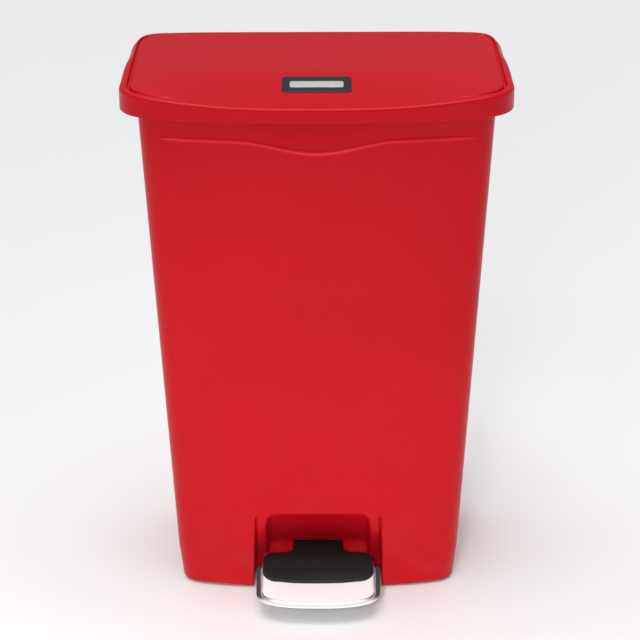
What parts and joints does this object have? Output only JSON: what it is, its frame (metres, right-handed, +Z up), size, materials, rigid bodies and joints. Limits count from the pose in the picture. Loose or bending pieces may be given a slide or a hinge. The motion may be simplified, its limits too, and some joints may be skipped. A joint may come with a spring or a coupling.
{
  "type": "step pedal waste bin",
  "caption": "Tall slim red plastic waste bin with a rear-hinged lid raised by a front step pedal through a push rod in the back.",
  "frame": {"origin": "middle of the bin's footprint, pedal included, on the floor", "axes": "+Z up; -Y is the front, where the pedal is; +X is to the right as seen from the front"},
  "size_m": [0.572, 0.4084, 0.826],
  "materials": {
    "red_plastic": "satin moulded, red",
    "black_plastic": "fine-textured, black",
    "grey_plastic": "fine-textured, grey",
    "white_plastic": "smooth, natural white",
    "inlay": "plain, pale grey",
    "rubber": "matt black",
    "tread_rubber": "matt black",
    "polished_steel": "polished",
    "bright_steel": "bright plated",
    "zinc_steel": "zinc plated"
  },
  "bodies": {
    "bin": {"body_shell": "red_plastic", "base_pan": "black_plastic", "foot_front_left": "rubber", "foot_front_right": "rubber", "foot_rear_left": "rubber", "foot_rear_right": "rubber", "base_screws": "bright_steel", "top_ring": "black_plastic", "ring_screws": "bright_steel", "rigid_liner": "grey_plastic", "channel_cover": "black_plastic", "channel_screws": "bright_steel", "rod_guide_low": "white_plastic", "rod_guide_mid": "white_plastic", "rod_guide_high": "white_plastic", "axle_bracket_left": "zinc_steel", "axle_bracket_right": "zinc_steel", "bracket_screws": "bright_steel", "pedal_axle": "bright_steel", "axle_clip_left": "bright_steel", "axle_clip_right": "bright_steel", "hinge_bracket_left": "black_plastic", "hinge_bracket_right": "black_plastic", "hinge_screws": "bright_steel", "hinge_pin_left": "bright_steel", "hinge_pin_right": "bright_steel", "damper_cylinder": "black_plastic", "damper_clamps": "zinc_steel", "damper_cap": "white_plastic"},
    "lid": {"lid_shell": "red_plastic", "lid_panel": "grey_plastic", "lid_badge": "black_plastic", "badge_inlay": "inlay", "knuckle_left": "black_plastic", "knuckle_right": "black_plastic", "hinge_bush_left": "white_plastic", "hinge_bush_right": "white_plastic", "lid_crank": "zinc_steel", "crank_pin": "bright_steel", "lid_screws": "bright_steel", "buffer_front_left": "rubber", "buffer_front_right": "rubber", "buffer_rear_left": "rubber", "buffer_rear_right": "rubber"},
    "pedal": {"pedal_lever": "zinc_steel", "pedal_plate": "polished_steel", "pedal_tread": "tread_rubber", "pedal_rivets": "bright_steel", "lever_bush_left": "black_plastic", "lever_bush_right": "black_plastic", "lever_pin": "bright_steel"},
    "rod": {"push_rod": "zinc_steel", "rod_head": "black_plastic", "rod_foot": "black_plastic", "rod_rivets": "bright_steel", "damper_piston": "bright_steel", "damper_arm": "zinc_steel"}
  },
  "joints": [
    {"name": "lid_hinge", "type": "hinge", "parent": "bin", "child": "lid", "pos_m": [0, 0.19, 0.8], "axis": [-1, 0, 0], "range_deg": [0, 75]},
    {"name": "pedal_pivot", "type": "hinge", "parent": "bin", "child": "pedal", "pos_m": [0, -0.006, 0.038], "axis": [1, 0, 0], "range_deg": [0, 6.91]},
    {"name": "rod_slide", "type": "slide", "parent": "bin", "child": "rod", "axis": [0, 0, 1], "range_m": [0, 0.02193]}
  ],
  "couplings": [
    {"joint": "pedal_pivot", "follows": "lid_hinge", "ratio": 0.092049},
    {"joint": "rod_slide", "follows": "lid_hinge", "m_per_rad": 0.016742}
  ]
}
